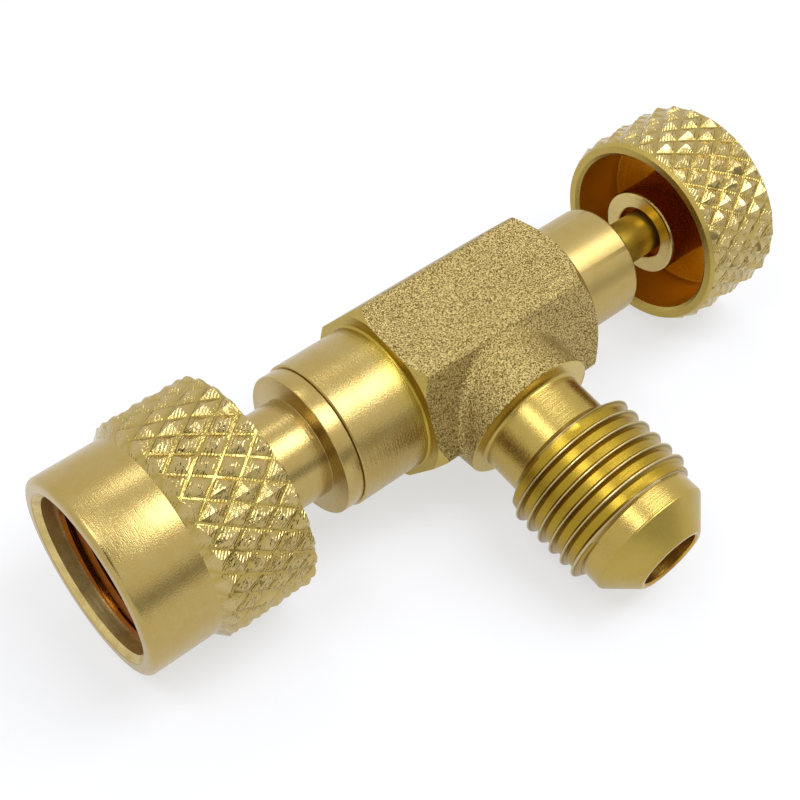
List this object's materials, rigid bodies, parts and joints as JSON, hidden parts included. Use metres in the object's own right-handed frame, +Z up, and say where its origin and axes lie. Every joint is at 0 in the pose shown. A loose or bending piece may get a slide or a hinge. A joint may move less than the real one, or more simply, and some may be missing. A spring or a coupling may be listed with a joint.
{
  "type": "refrigerant service valve",
  "caption": "Straight service valve with a knurled swivel nut, a screwed handwheel with a cored stem, a hexagon body and a male flare port on the side.",
  "frame": {"origin": "centre of the swivel nut's mouth, on the valve's long axis, with the nut drawn forward on the neck", "axes": "+X from the nut's mouth to the handwheel, +Z up from the surface that the valve lies on, the flare port towards -Y and drooping to that surface"},
  "size_m": [0.0666, 0.0348, 0.0188],
  "materials": {
    "body_brass": "blasted forging, bright where machined",
    "turned_brass": "fine turned",
    "knurled_brass": "turned, with a coarse diamond knurl",
    "seal_rubber": "moulded",
    "gasket_plastic": "plain",
    "ptfe": "plain"
  },
  "bodies": {
    "valve_body": {"body": "body_brass", "tailpiece": "turned_brass", "tail_seal": "seal_rubber", "seat_bush": "turned_brass", "flare_gasket": "gasket_plastic", "packing_washer": "turned_brass", "stem_seal": "seal_rubber", "gland_ring": "ptfe", "gland_nut": "turned_brass"},
    "pin": {"depressor_pin": "turned_brass"},
    "wheel_and_stem": {"handwheel": "knurled_brass", "stem": "turned_brass"},
    "washer": {"slip_washer": "turned_brass"},
    "nut": {"swivel_nut": "knurled_brass"}
  },
  "joints": [
    {"name": "stem_travel", "type": "slide", "parent": "valve_body", "child": "pin", "axis": [-1, 0, 0], "range_m": [0, 0.0054]},
    {"name": "handwheel_turn", "type": "hinge", "parent": "pin", "child": "wheel_and_stem", "pos_m": [0.0625, 0, 0], "axis": [-1, 0, 0], "range_deg": [0, 1555]},
    {"name": "nut_slide", "type": "slide", "parent": "valve_body", "child": "washer", "axis": [1, 0, 0], "range_m": [0, 0.0054]},
    {"name": "nut_turn", "type": "hinge", "parent": "washer", "child": "nut", "pos_m": [0.0071, 0, 0], "axis": [1, 0, 0], "continuous": true}
  ],
  "couplings": [
    {"joint": "stem_travel", "follows": "handwheel_turn", "m_per_rad": 0.00019894}
  ]
}
